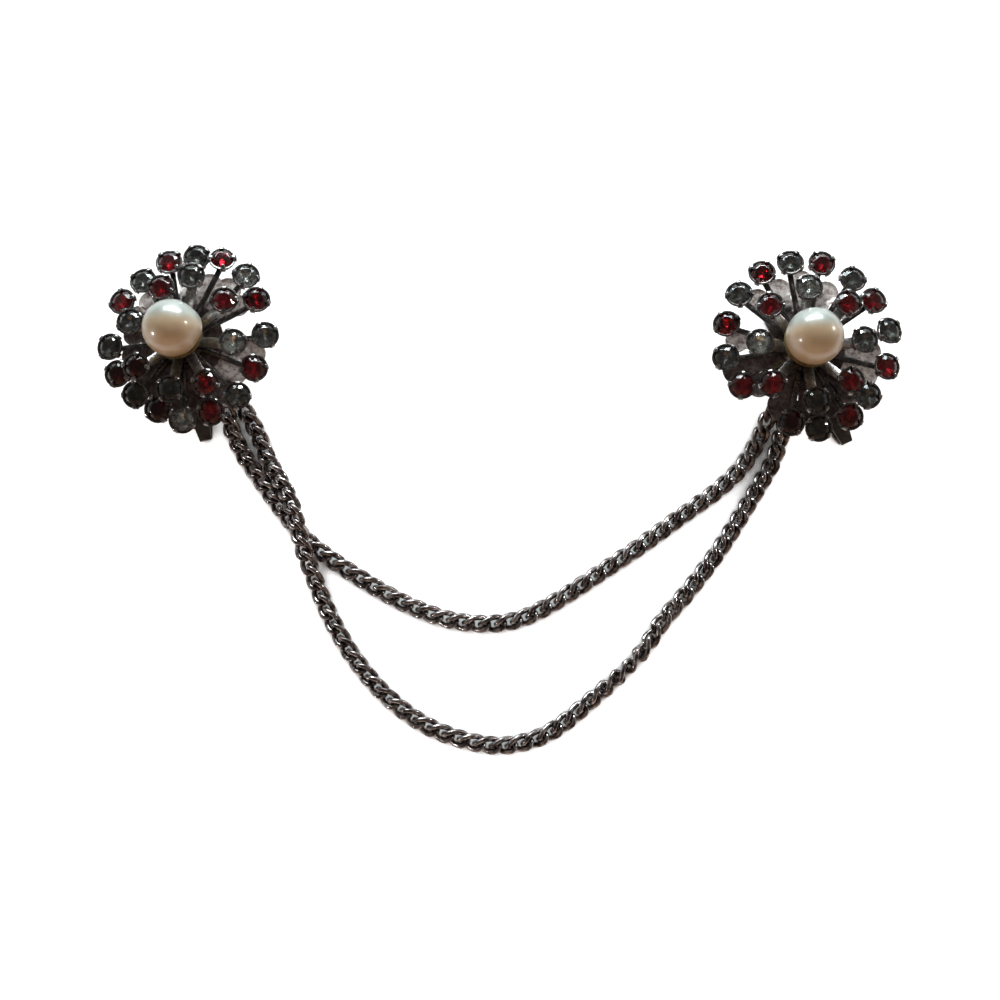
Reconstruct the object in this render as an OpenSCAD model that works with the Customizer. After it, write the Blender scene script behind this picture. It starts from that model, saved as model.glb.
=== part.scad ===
// A sweater clip: two jewelled bursts, each round a pearl and on a spring clip,
// joined by two strands of curb chain. It lies on its clips as on a table.
// Millimetres, +Z up off the table, +X from the left burst to the right one.

/* [Places] */
// Middle of the left burst
left_hub = [-57.2, 27.9];
// Middle of the right burst
right_hub = [54.7, 26.4];

/* [Pearls] */
// Diameter of each pearl
pearl_d = 10; // [8:0.5:11]
// Height of a pearl's middle above the table
pearl_z = 12.3; // [12:0.1:14]

/* [Stones and cups] */
// Radius of a stone at its girdle
stone_r = 2.1; // [1.9:0.05:2.15]
// Width of one prong that holds a stone
prong_w = 0.55; // [0.4:0.05:0.7]
// Width of a stem that carries an outer cup
outer_arm_w = 1; // [0.8:0.05:1.2]
// Width of a strip that carries an inner cup
inner_arm_w = 1.8; // [1.5:0.05:1.9]

/* [Back] */
// Thickness of the stamped back plate
plate_t = 0.5; // [0.4:0.05:0.6]
// Thickness of the spring clip's metal
clip_t = 0.7; // [0.6:0.05:0.8]
// Width of the spring clip
clip_w = 6; // [5:0.5:7]

/* [Chain] */
// Distance from one link to the next on a straight strand
link_pitch = 2.8; // [2.78:0.01:2.82]
// Diameter of a link's wire
link_wire = 0.78; // [0.6:0.02:0.8]
// Half the length of a link, along its wire's middle
link_a = 2.1; // [2.08:0.01:2.14]
// Half the width of a link, along its wire's middle
link_b = 1.05; // [1.03:0.01:1.1]
// Turn of each end of a link against its middle, in degrees
link_twist = -65; // [-67:1:-63]

/* [Hidden] */
$fn = 48;

// Colour codes of the stones
CLEAR = 0;
RED = 1;

// Columns of the stone tables: angle, reach from the pearl, height, outward tilt, colour
ANGLE = 0;
REACH = 1;
HEIGHT = 2;
TILT = 3;
COLOUR = 4;
LEFT_OUTER = [
    [123, 12.3, 7.0, 14, CLEAR],
    [99, 14.0, 7.0, 14, RED],
    [79.5, 15.0, 7.0, 8, CLEAR],
    [62.5, 16.0, 7.6, 20, RED],
    [44, 16.2, 7.0, 10, CLEAR],
    [26, 15.3, 7.4, 12, RED],
    [1, 15.4, 7.0, 14, CLEAR],
    [-23, 14.8, 7.0, 12, RED],
    [-45, 15.3, 7.2, 10, CLEAR],
    [-65.5, 15.1, 7.0, 14, RED],
    [-85, 15.2, 7.0, 12, CLEAR],
    [-103, 13.6, 7.0, 12, RED],
    [-124, 12.8, 7.0, 14, CLEAR],
    [-147, 12.5, 7.0, 14, RED],
    [-171, 12.2, 7.0, 14, CLEAR],
    [148, 12.1, 7.0, 14, RED]
];
LEFT_INNER = [
    [109, 8.7, 9.6, 8, RED],
    [76, 10.6, 9.8, 6, CLEAR],
    [35, 10.3, 9.6, 8, RED],
    [-10, 10.4, 9.6, 8, CLEAR],
    [-58, 10.8, 9.6, 8, RED],
    [-93, 10.2, 9.4, 8, CLEAR],
    [-137, 9.0, 9.4, 8, RED],
    [166, 8.3, 9.4, 8, CLEAR]
];
RIGHT_OUTER = [
    [120, 15.4, 7.0, 12, RED],
    [100, 15.3, 7.4, 10, CLEAR],
    [78.5, 15.4, 7.0, 10, RED],
    [55, 14.8, 7.0, 12, CLEAR],
    [34, 14.5, 7.0, 12, RED],
    [10, 14.8, 7.0, 14, CLEAR],
    [-16, 14.4, 7.0, 14, RED],
    [-42, 13.8, 7.0, 12, CLEAR],
    [-62.5, 14.8, 7.2, 12, RED],
    [-85, 15.2, 7.0, 12, CLEAR],
    [-104, 14.6, 7.2, 12, RED],
    [-148, 14.0, 7.0, 12, RED],
    [-171, 14.8, 7.0, 12, CLEAR],
    [165, 14.8, 7.0, 14, RED],
    [142.5, 15.1, 7.4, 12, CLEAR]
];
RIGHT_INNER = [
    [137, 9.5, 9.6, 8, RED],
    [90, 9.8, 9.6, 6, CLEAR],
    [45, 9.7, 9.6, 8, RED],
    [1, 9.4, 9.6, 8, CLEAR],
    [-47, 9.9, 9.6, 8, RED],
    [-87, 10.8, 9.4, 8, CLEAR],
    [-132, 10.5, 9.6, 8, RED],
    [-178, 9.0, 9.6, 6, CLEAR]
];

// Columns of the petal tables: angle, reach of the round end, its radius
PETAL_R = 2;
LEFT_PETALS = [
    [110, 12.6, 1.9],
    [88, 15.6, 2.3],
    [68, 14.0, 2.5],
    [52, 15.0, 2.4],
    [36, 14.0, 2.1],
    [-10, 15.2, 2.6],
    [-31, 13.4, 2.4],
    [-50, 15.2, 2.6],
    [-75, 13.4, 2.4],
    [-97, 12.6, 2.3],
    [-119, 11.6, 2.2],
    [-141, 11.6, 2.2],
    [-164, 11.4, 2.2],
    [172, 11.0, 1.9],
    [150, 11.8, 2.1],
    [130, 12.0, 2.1]
];
RIGHT_PETALS = [
    [130, 14.6, 2.3],
    [109, 14.4, 2.3],
    [89, 15.4, 2.3],
    [67, 14.2, 2.3],
    [47, 13.0, 2.1],
    [-1, 14.2, 2.4],
    [-22, 14.2, 2.5],
    [-44, 13.4, 2.3],
    [-66, 13.6, 2.3],
    [-89, 14.0, 2.6],
    [-112, 14.0, 2.8],
    [-142, 12.8, 2.3],
    [-163, 15.3, 2.8],
    [171, 14.2, 2.2]
];

// Levels of the layers that the post holds together
clip_top_z = 3.5;
layer_gap = 0.1;
plate_z = clip_top_z + layer_gap;
hub_t = 0.6;
outer_hub_z = plate_z + plate_t + layer_gap;
inner_hub_z = outer_hub_z + hub_t + layer_gap;
seat_z = inner_hub_z + hub_t + layer_gap;
outer_hub_r = 4.2;
inner_hub_r = 3.2;
plate_hub_r = 7.4;
petal_neck_w = 1.4;
petal_neck_r = 3.8;

// Post, its holes and the pearl's drilling
post_r = 0.9;
post_hole_r = post_r + 0.05;
rivet_r = 1.6;
rivet_t = 0.6;
seat_foot_r = 2;
seat_rim_r = 4.7;
seat_rim_z = 9.3;
seat_rim_t = 0.2;
peg_r = 0.5;
drill_r = 0.6;
drill_depth = 4.6;
pearl_gap = 0.1;

// Cup: a cone round the stone's point with a short wall round its girdle
girdle_h = 0.12;
table_r = 0.6 * stone_r;
table_h = 0.75;
culet_r = 0.35;
culet_h = 1.25;
cup_gap = 0.12;
cup_r = stone_r + 0.32;
cup_rim_h = 0.25;
cup_foot_r = 0.9;
cup_floor_h = 1.42;
cup_foot_h = 1.8;
cup_floor_r = 0.55;
cup_prongs = 4;
prong_inset = 0.04;
prong_reach = 0.54;
prong_root_h = 0.1;
prong_knee_h = 0.42;
prong_tip_h = 0.98;
arm_t = 0.45;
arm_seat = 1.75;
arm_end = 0.4;

// Spring clip: its hinge bend lies behind the hub, its closed tip shows past the stones
clip_back = -8;
clip_tip = 18.4;
clip_jaw_bend = 13;
clip_tip_w = 2;
clip_bend_r = clip_top_z / 2;
clip_tip_gap = 0.3;
clip_tip_drop = 0.9;
LEFT_CLIP_ANGLE = -76;
RIGHT_CLIP_ANGLE = -66;

// Chain eyes: rings soldered on edge under the plate, each with a heading for its strand
eye_r = 1.4;
eye_wire = 0.7;
eye_z = 2.05;
eye_lean = 20;
eye_hold = 1.3;
LOWER_LEFT_EYE = [-47.4, 17.4, -50];
UPPER_LEFT_EYE = [-49.7, 17.7, -76];
LOWER_RIGHT_EYE = [51.4, 14.6, -103];
UPPER_RIGHT_EYE = [48.3, 15.1, -108];

// Routes of the strands between their first and last links, chosen by hand
flat_z = 1.1;
LOWER_ROUTE = [
    [-43.5, 11.2, 1.5], [-41.7, 7.0, 1.5], [-39.4, 3.0, 2.1], [-37.3, -0.7, 3.0], [-35.9, -4.7, 3.35],
    [-34.8, -9.0, 3.2], [-32.9, -14.4, 1.8], [-29.8, -21.6, flat_z], [-25.4, -28.8, flat_z],
    [-19.6, -35.4, flat_z], [-12.2, -40.6, flat_z], [-3.5, -43.4, flat_z], [3.0, -43.4, flat_z],
    [9.4, -41.0, flat_z], [17.5, -34.6, 1.35],
    [22.2, -30.4, 1.55], [25.6, -26.6, 1.65], [28.6, -22.2, 1.55], [33.6, -16.5, 1.25], [39.1, -9.3, flat_z],
    [43.4, -2.7, flat_z], [46.6, 2.4, flat_z], [49.0, 6.6, 1.25]
];
UPPER_ROUTE = [
    [-48.3, 12.2, 1.4], [-46.4, 8.2, flat_z], [-44.0, 4.6, flat_z], [-41.2, 0.7, flat_z], [-38.1, -3.4, flat_z],
    [-34.8, -7.4, flat_z], [-30.2, -11.1, flat_z], [-23.0, -15.7, flat_z], [-15.9, -19.5, flat_z],
    [-8.8, -22.0, flat_z], [-1.8, -22.7, flat_z], [4.2, -21.6, flat_z], [10.6, -18.3, flat_z],
    [17.7, -13.7, flat_z], [24.9, -8.9, flat_z], [32.1, -3.7, flat_z], [38.0, 0.5, flat_z],
    [42.6, 4.6, flat_z], [45.6, 8.8, 1.2]
];

// The lower strand lies turned over: over these links it rolls through half a turn
kink_first = 33;
kink_links = 14;

// Sides of a link's path and of its wire, and how square its oval is
link_rings = 12;
wire_sides = 5;
link_square = 2.8;
spline_steps = 16;

// Turning the tables above into places
function unit(v) = v / norm(v);
function heading(a) = [cos(a), sin(a), 0];

// First link of a strand: the eye's wire stands inside the link, eye_hold from its end
function eye_centre(eye) = [eye[0], eye[1], eye_z];
function first_link(eye) = eye_centre(eye) + (eye_r - eye_hold + link_a) * heading(eye[2]);

// Smooth curve through all points but the first and last, which only set its end directions
function curve_at(a, b, c, d, t) =
    (2 * b + (c - a) * t + (2 * a - 5 * b + 4 * c - d) * t * t + (3 * b - a - 3 * c + d) * t * t * t) / 2;
function curve(p) = concat(
    [
        for (i = [1 : len(p) - 3], k = [0 : spline_steps - 1])
            curve_at(p[i - 1], p[i], p[i + 1], p[i + 2], k / spline_steps)
    ],
    [p[len(p) - 2]]
);
function strand_points(start, route, end) =
    concat([eye_centre(start), first_link(start)], route, [first_link(end), eye_centre(end)]);

// Distance along a line of points up to each point
function along(p, i = 1, sums = [0]) =
    i == len(p) ? sums : along(p, i + 1, concat(sums, [sums[i - 1] + norm(p[i] - p[i - 1])]));
function table_of(p, s, axis) = [for (i = [0 : len(p) - 1]) [s[i], p[i][axis]]];
function place_at(tables, s) = [for (t = tables) lookup(s, t)];

// A link's own axes: along the strand, across it and up, turned by roll about the strand
function link_axes(ahead, roll) =
    let (
        f = unit(ahead),
        side = unit(cross([0, 0, 1], f)),
        up = cross(f, side)
    )
    [f, side * cos(roll) + up * sin(roll), up * cos(roll) - side * sin(roll)];
function eased(t) = t * t * (3 - 2 * t);
function kink_roll(i) = 180 * eased(min(max((i - kink_first) / kink_links, 0), 1));

// Middle of a link's wire at angle a round its twisted oval, in the link's own axes
function signed_pow(v) = sign(v) * pow(abs(v), 2 / link_square);
function oval(a) =
    let (x = link_a * signed_pow(cos(a)), y = link_b * signed_pow(sin(a)), turn = link_twist * x / link_a)
    [x, y * cos(turn), y * sin(turn)];
function wire_ring(a) =
    let (
        ahead = unit(oval(a + 1) - oval(a - 1)),
        out = unit(cross(ahead, [0, 0, 1])),
        up = cross(out, ahead)
    )
    [
        for (k = [0 : wire_sides - 1])
            oval(a) + link_wire / 2 * (out * cos(360 * k / wire_sides) + up * sin(360 * k / wire_sides))
    ];
link_local = [for (n = [0 : link_rings - 1]) each wire_ring(360 * (n + 0.5) / link_rings)];
link_faces = [
    for (n = [0 : link_rings - 1], k = [0 : wire_sides - 1])
        let (n2 = (n + 1) % link_rings, k2 = (k + 1) % wire_sides)
        each [
            [n * wire_sides + k, n * wire_sides + k2, n2 * wire_sides + k2],
            [n * wire_sides + k, n2 * wire_sides + k2, n2 * wire_sides + k]
        ]
];
link_size = link_rings * wire_sides;

// One strand: twisted links along its curve, each hooked through the next
module strand(start, route, end, rolls) {
    p = curve(strand_points(start, route, end));
    s = along(p);
    tables = [for (axis = [0 : 2]) table_of(p, s, axis)];
    total = s[len(s) - 1];
    gaps = round(total / link_pitch);
    step = total / gaps;
    points = [
        for (i = [0 : gaps])
            let (
                c = place_at(tables, i * step),
                ahead = place_at(tables, (i + 0.5) * step) - place_at(tables, (i - 0.5) * step),
                axes = link_axes(ahead, rolls ? kink_roll(i) : 0)
            )
            for (v = link_local) c + v[0] * axes[0] + v[1] * axes[1] + v[2] * axes[2]
    ];
    faces = [for (i = [0 : gaps], f = link_faces) [for (v = f) v + i * link_size]];
    polyhedron(points, faces);
}

module lower_chain() {
    color([0.3, 0.26, 0.25]) strand(LOWER_LEFT_EYE, LOWER_ROUTE, LOWER_RIGHT_EYE, true);
}

module upper_chain() {
    color([0.3, 0.26, 0.25]) strand(UPPER_LEFT_EYE, UPPER_ROUTE, UPPER_RIGHT_EYE, false);
}

// A ring of wire on edge under the plate, in the plane of its strand
module chain_eye(eye) {
    translate(eye_centre(eye))
        rotate([0, 0, eye[2]])
            rotate([90 + eye_lean, 0, 0])
                rotate_extrude($fn = 32) translate([eye_r, 0]) circle(eye_wire / 2, $fn = 20);
}

// Places a child at a stone's girdle, with +Z along the stone's axis
module at_stone(row) {
    rotate([0, 0, row[ANGLE]])
        translate([row[REACH], 0, row[HEIGHT]])
            rotate([0, row[TILT], 0])
                children();
}

// A round stone cut with a table, eight crown facets and eight pavilion facets
module stone() {
    rings = [[culet_r, -culet_h], [stone_r, -girdle_h], [stone_r, girdle_h], [table_r, table_h]];
    sides = 8;
    points = [
        for (r = rings, k = [0 : sides - 1])
            [r[0] * cos(360 * (k + 0.5) / sides), r[0] * sin(360 * (k + 0.5) / sides), r[1]]
    ];
    faces = concat(
        [[for (k = [0 : sides - 1]) k]],
        [
            for (n = [0 : len(rings) - 2], k = [0 : sides - 1])
                let (k2 = (k + 1) % sides)
                [n * sides + k, (n + 1) * sides + k, (n + 1) * sides + k2, n * sides + k2]
        ],
        [[for (k = [sides - 1 : -1 : 0]) (len(rings) - 1) * sides + k]]
    );
    polyhedron(points, faces);
}

// The stones of one colour on one burst
module stones(rows, colour) {
    for (row = rows) {
        if (row[COLOUR] == colour) {
            at_stone(row) stone();
        }
    }
}

module red_stones(outer, inner) {
    color([0.5, 0.04, 0.07]) stones(concat(outer, inner), RED);
}

module clear_stones(outer, inner) {
    color([0.5, 0.53, 0.52]) stones(concat(outer, inner), CLEAR);
}

// Stamped cup with four prongs bent over the stone's edge
module cup() {
    inner_r = stone_r + cup_gap;
    rotate_extrude()
        polygon([
            [0, -cup_foot_h], [cup_foot_r, -cup_foot_h], [cup_r, -cup_gap], [cup_r, cup_rim_h],
            [inner_r, cup_rim_h], [inner_r, -cup_gap], [cup_floor_r, -cup_floor_h], [0, -cup_floor_h]
        ]);
    for (k = [0 : cup_prongs - 1]) {
        rotate([0, 0, 360 * (k + 0.5) / cup_prongs]) prong(inner_r);
    }
}

// A prong in the radial plane: up from the wall, then in over the crown
module prong(inner_r) {
    root_in = inner_r + prong_inset;
    root_out = cup_r - prong_inset;
    tip_r = stone_r - prong_reach;
    rotate([90, 0, 0])
        linear_extrude(prong_w, center = true)
            polygon([
                [root_in, prong_root_h], [root_out, prong_root_h], [root_out, prong_knee_h],
                [tip_r + 0.12, prong_tip_h], [tip_r, prong_tip_h - 0.16], [root_in, prong_knee_h - 0.06]
            ]);
}

// A straight strip from the hub to the foot of a cup
module arm(row, hub_r, hub_z, w) {
    foot = [row[REACH] - arm_seat * sin(row[TILT]), row[HEIGHT] - arm_seat * cos(row[TILT])];
    from = [hub_r - 0.5, hub_z + hub_t / 2];
    run = foot - from;
    rotate([0, 0, row[ANGLE]])
        translate([from[0], 0, from[1]])
            rotate([0, -atan2(run[1], run[0]), 0])
                translate([0, -w / 2, -arm_t / 2])
                    cube([norm(run) + arm_end, w, arm_t]);
}

// One stamped layer: a drilled hub, its arms and the cups soldered on them
module burst(rows, hub_r, hub_z, w) {
    difference() {
        translate([0, 0, hub_z]) cylinder(r = hub_r, h = hub_t);
        translate([0, 0, hub_z - 1]) cylinder(r = post_hole_r, h = hub_t + 2);
    }
    for (row = rows) {
        arm(row, hub_r, hub_z, w);
        at_stone(row) cup();
    }
}

module outer_burst(rows) {
    color([0.35, 0.31, 0.29]) burst(rows, outer_hub_r, outer_hub_z, outer_arm_w);
}

module inner_burst(rows) {
    color([0.42, 0.38, 0.36]) burst(rows, inner_hub_r, inner_hub_z, inner_arm_w);
}

// One petal: a neck that widens to a round end
module petal(row) {
    end_at = row[REACH] - row[PETAL_R];
    shoulder = 0.9 * row[PETAL_R];
    rotate(row[ANGLE]) {
        polygon([
            [petal_neck_r, -petal_neck_w / 2], [end_at, -shoulder],
            [end_at, shoulder], [petal_neck_r, petal_neck_w / 2]
        ]);
        translate([end_at, 0]) circle(row[PETAL_R]);
    }
}

// Stamped rosette behind the bursts, with the eyes for the chains soldered under it
module back_plate(hub, petals, eyes) {
    color([0.62, 0.57, 0.54]) {
        translate([hub[0], hub[1], plate_z])
            linear_extrude(plate_t)
                difference() {
                    union() {
                        circle(plate_hub_r);
                        for (row = petals) {
                            petal(row);
                        }
                    }
                    circle(post_hole_r);
                }
        for (eye = eyes) {
            chain_eye(eye);
        }
    }
}

module left_back_plate() {
    back_plate(left_hub, LEFT_PETALS, [LOWER_LEFT_EYE, UPPER_LEFT_EYE]);
}

module right_back_plate() {
    back_plate(right_hub, RIGHT_PETALS, [LOWER_RIGHT_EYE, UPPER_RIGHT_EYE]);
}

// Spring clip: one strip of metal bent back under itself, its jaw closed at the tip
module clip(angle) {
    color([0.5, 0.48, 0.46])
        rotate([0, 0, angle])
            difference() {
                intersection() {
                    rotate([90, 0, 0]) linear_extrude(clip_w, center = true) clip_side();
                    translate([0, 0, -1]) linear_extrude(clip_top_z + 2) clip_plan();
                }
                translate([0, 0, clip_top_z - clip_t - 1]) cylinder(r = post_hole_r, h = clip_t + 2);
            }
}

module clip_side() {
    tip_top = clip_top_z - clip_tip_drop;
    jaw_top = tip_top - clip_t - clip_tip_gap;
    polygon([
        [clip_back, clip_top_z - clip_t], [clip_jaw_bend, clip_top_z - clip_t], [clip_tip, tip_top - clip_t],
        [clip_tip, tip_top], [clip_jaw_bend, clip_top_z], [clip_back, clip_top_z]
    ]);
    polygon([
        [clip_back, 0], [clip_jaw_bend, 0], [clip_tip - 0.4, jaw_top - clip_t],
        [clip_tip - 0.4, jaw_top], [clip_jaw_bend, clip_t], [clip_back, clip_t]
    ]);
    difference() {
        translate([clip_back, clip_bend_r]) circle(clip_bend_r);
        translate([clip_back, clip_bend_r]) circle(clip_bend_r - clip_t);
        translate([clip_back + 0.2, -1]) square([clip_top_z, clip_top_z + 2]);
    }
}

module clip_plan() {
    polygon([
        [clip_back - 3, -clip_w / 2], [5, -clip_w / 2], [clip_tip, -clip_tip_w / 2],
        [clip_tip, clip_tip_w / 2], [5, clip_w / 2], [clip_back - 3, clip_w / 2]
    ]);
}

// Post: a riveted shank through every layer, a dish under the pearl and a peg up into it
module pearl_post() {
    rivet_top = clip_top_z - clip_t - 0.05;
    color([0.55, 0.45, 0.28])
        difference() {
            union() {
                translate([0, 0, rivet_top - rivet_t]) cylinder(r = rivet_r, h = rivet_t);
                translate([0, 0, rivet_top - 0.1]) cylinder(r = post_r, h = seat_z - rivet_top + 0.2);
                rotate_extrude()
                    polygon([
                        [0, seat_z], [seat_foot_r, seat_z], [seat_rim_r, seat_rim_z - seat_rim_t],
                        [seat_rim_r, seat_rim_z], [0, seat_rim_z]
                    ]);
                translate([0, 0, seat_z + 0.5])
                    cylinder(r = peg_r, h = pearl_z - pearl_d / 2 + drill_depth - 0.3 - seat_z - 0.5);
            }
            difference() {
                translate([0, 0, pearl_z]) sphere(pearl_d / 2 + pearl_gap);
                cylinder(r = peg_r, h = pearl_z);
            }
        }
}

module pearl() {
    color([0.93, 0.89, 0.78])
        difference() {
            translate([0, 0, pearl_z]) sphere(pearl_d / 2);
            translate([0, 0, pearl_z - pearl_d / 2 - 1]) cylinder(r = drill_r, h = drill_depth + 1);
        }
}

module at_left() {
    translate([left_hub[0], left_hub[1], 0]) children();
}

module at_right() {
    translate([right_hub[0], right_hub[1], 0]) children();
}

at_left() clip(LEFT_CLIP_ANGLE);  // left_clip
left_back_plate();
at_left() outer_burst(LEFT_OUTER);  // left_outer_burst
at_left() inner_burst(LEFT_INNER);  // left_inner_burst
at_left() pearl_post();  // left_pearl_post
at_left() pearl();  // left_pearl
at_left() red_stones(LEFT_OUTER, LEFT_INNER);  // left_red_stones
at_left() clear_stones(LEFT_OUTER, LEFT_INNER);  // left_clear_stones
at_right() clip(RIGHT_CLIP_ANGLE);  // right_clip
right_back_plate();
at_right() outer_burst(RIGHT_OUTER);  // right_outer_burst
at_right() inner_burst(RIGHT_INNER);  // right_inner_burst
at_right() pearl_post();  // right_pearl_post
at_right() pearl();  // right_pearl
at_right() red_stones(RIGHT_OUTER, RIGHT_INNER);  // right_red_stones
at_right() clear_stones(RIGHT_OUTER, RIGHT_INNER);  // right_clear_stones
lower_chain();
upper_chain();
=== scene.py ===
"""Looks of a sweater clip: two jewelled bursts, each round a pearl and on a spring clip, joined by
two strands of curb chain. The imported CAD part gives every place. Sizes are millimetres times mm."""

import math
import random

import bmesh
import bpy
import numpy as np
from mathutils import Matrix, Vector


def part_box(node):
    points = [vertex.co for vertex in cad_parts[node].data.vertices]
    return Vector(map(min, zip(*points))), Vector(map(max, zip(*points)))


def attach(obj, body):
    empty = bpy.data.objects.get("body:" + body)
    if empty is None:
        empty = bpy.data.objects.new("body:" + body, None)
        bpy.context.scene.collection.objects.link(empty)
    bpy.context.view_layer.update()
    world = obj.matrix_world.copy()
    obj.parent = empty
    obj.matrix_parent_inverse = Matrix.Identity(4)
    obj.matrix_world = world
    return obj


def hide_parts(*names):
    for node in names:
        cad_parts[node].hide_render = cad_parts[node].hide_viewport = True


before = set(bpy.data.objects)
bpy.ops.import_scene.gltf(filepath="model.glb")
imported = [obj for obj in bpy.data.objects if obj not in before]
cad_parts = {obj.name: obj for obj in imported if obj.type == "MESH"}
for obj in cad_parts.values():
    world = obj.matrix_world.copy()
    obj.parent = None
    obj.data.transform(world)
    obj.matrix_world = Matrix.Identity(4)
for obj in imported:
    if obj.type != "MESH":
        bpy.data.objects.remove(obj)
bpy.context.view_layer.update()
mm = 0.001
SIDES = ("left", "right")


# Spring clips, one behind each burst: a strip of plated spring steel bent back under itself and
# riveted to the burst through its upper leaf. Only the tips show from above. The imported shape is
# kept, with its edges rounded off as a tumbled stamping's are.

def start(kind, **size):
    """Adds a primitive on its own and opens it for shaping, with nothing selected."""
    bpy.ops.object.select_all(action="DESELECT")
    getattr(bpy.ops.mesh, f"primitive_{kind}_add")(**size)
    bpy.ops.object.mode_set(mode="EDIT")
    bpy.ops.mesh.select_all(action="DESELECT")
    return bpy.context.object


def choose(piece, where, kind="FACE"):
    """Selects the open piece's faces, or points, for which where(place in mm, normal) is true."""
    bpy.ops.mesh.select_all(action="DESELECT")
    bpy.ops.mesh.select_mode(type=kind)
    shape = bmesh.from_edit_mesh(piece.data)
    for part in shape.faces if kind == "FACE" else shape.verts:
        place = part.calc_center_median() if kind == "FACE" else part.co
        part.select_set(bool(where(place / mm, part.normal)))
    shape.select_flush_mode()
    bmesh.update_edit_mesh(piece.data)


def grow(centre, wide=1.0, move=(0, 0, 0)):
    """Extrudes the selected faces, widens the new end about a centre and moves it, in mm."""
    bpy.ops.mesh.extrude_region_move()
    bpy.ops.transform.resize(value=(wide, wide, 1), center_override=[c * mm for c in centre])
    bpy.ops.transform.translate(value=[m * mm for m in move])


def close(piece, bevel=0.0, segments=2, wall=0.0, angle=30):
    """Leaves edit mode, puts the piece's place in its mesh, gives it its wall and round edges."""
    bpy.ops.object.mode_set(mode="OBJECT")
    bpy.ops.object.transform_apply(location=True, rotation=True, scale=True)
    if wall:
        solid = piece.modifiers.new("wall", "SOLIDIFY")
        solid.thickness = wall * mm
        solid.offset = -1
        bpy.ops.object.modifier_apply(modifier="wall")
    if bevel:
        edges = piece.modifiers.new("edges", "BEVEL")
        edges.width = bevel * mm
        edges.segments = segments
        edges.angle_limit = math.radians(angle)
        bpy.ops.object.modifier_apply(modifier="edges")
    bpy.ops.object.shade_smooth_by_angle(angle=math.radians(angle))
    return piece


def copy_of(piece, place=Matrix()):
    """A copy of a piece with its own mesh, put in its place."""
    twin = piece.copy()
    twin.data = piece.data.copy()
    twin.data.transform(place)
    bpy.context.scene.collection.objects.link(twin)
    return twin


def join(parts, name):
    """Joins pieces that are soldered or stamped in one, and names the result."""
    bpy.ops.object.select_all(action="DESELECT")
    for part in parts:
        part.select_set(True)
    bpy.context.view_layer.objects.active = parts[0]
    if len(parts) > 1:
        bpy.ops.object.join()
    whole = bpy.context.object
    whole.name = whole.data.name = name
    return whole


def discard(piece):
    """Takes a pattern or a measured copy out of the scene."""
    bpy.data.objects.remove(piece)


def dress(piece, material_slot, *nodes):
    """Fixes a finished piece to the part's one body, in the place of its CAD nodes."""
    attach(piece, "root")
    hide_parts(*nodes)


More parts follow.
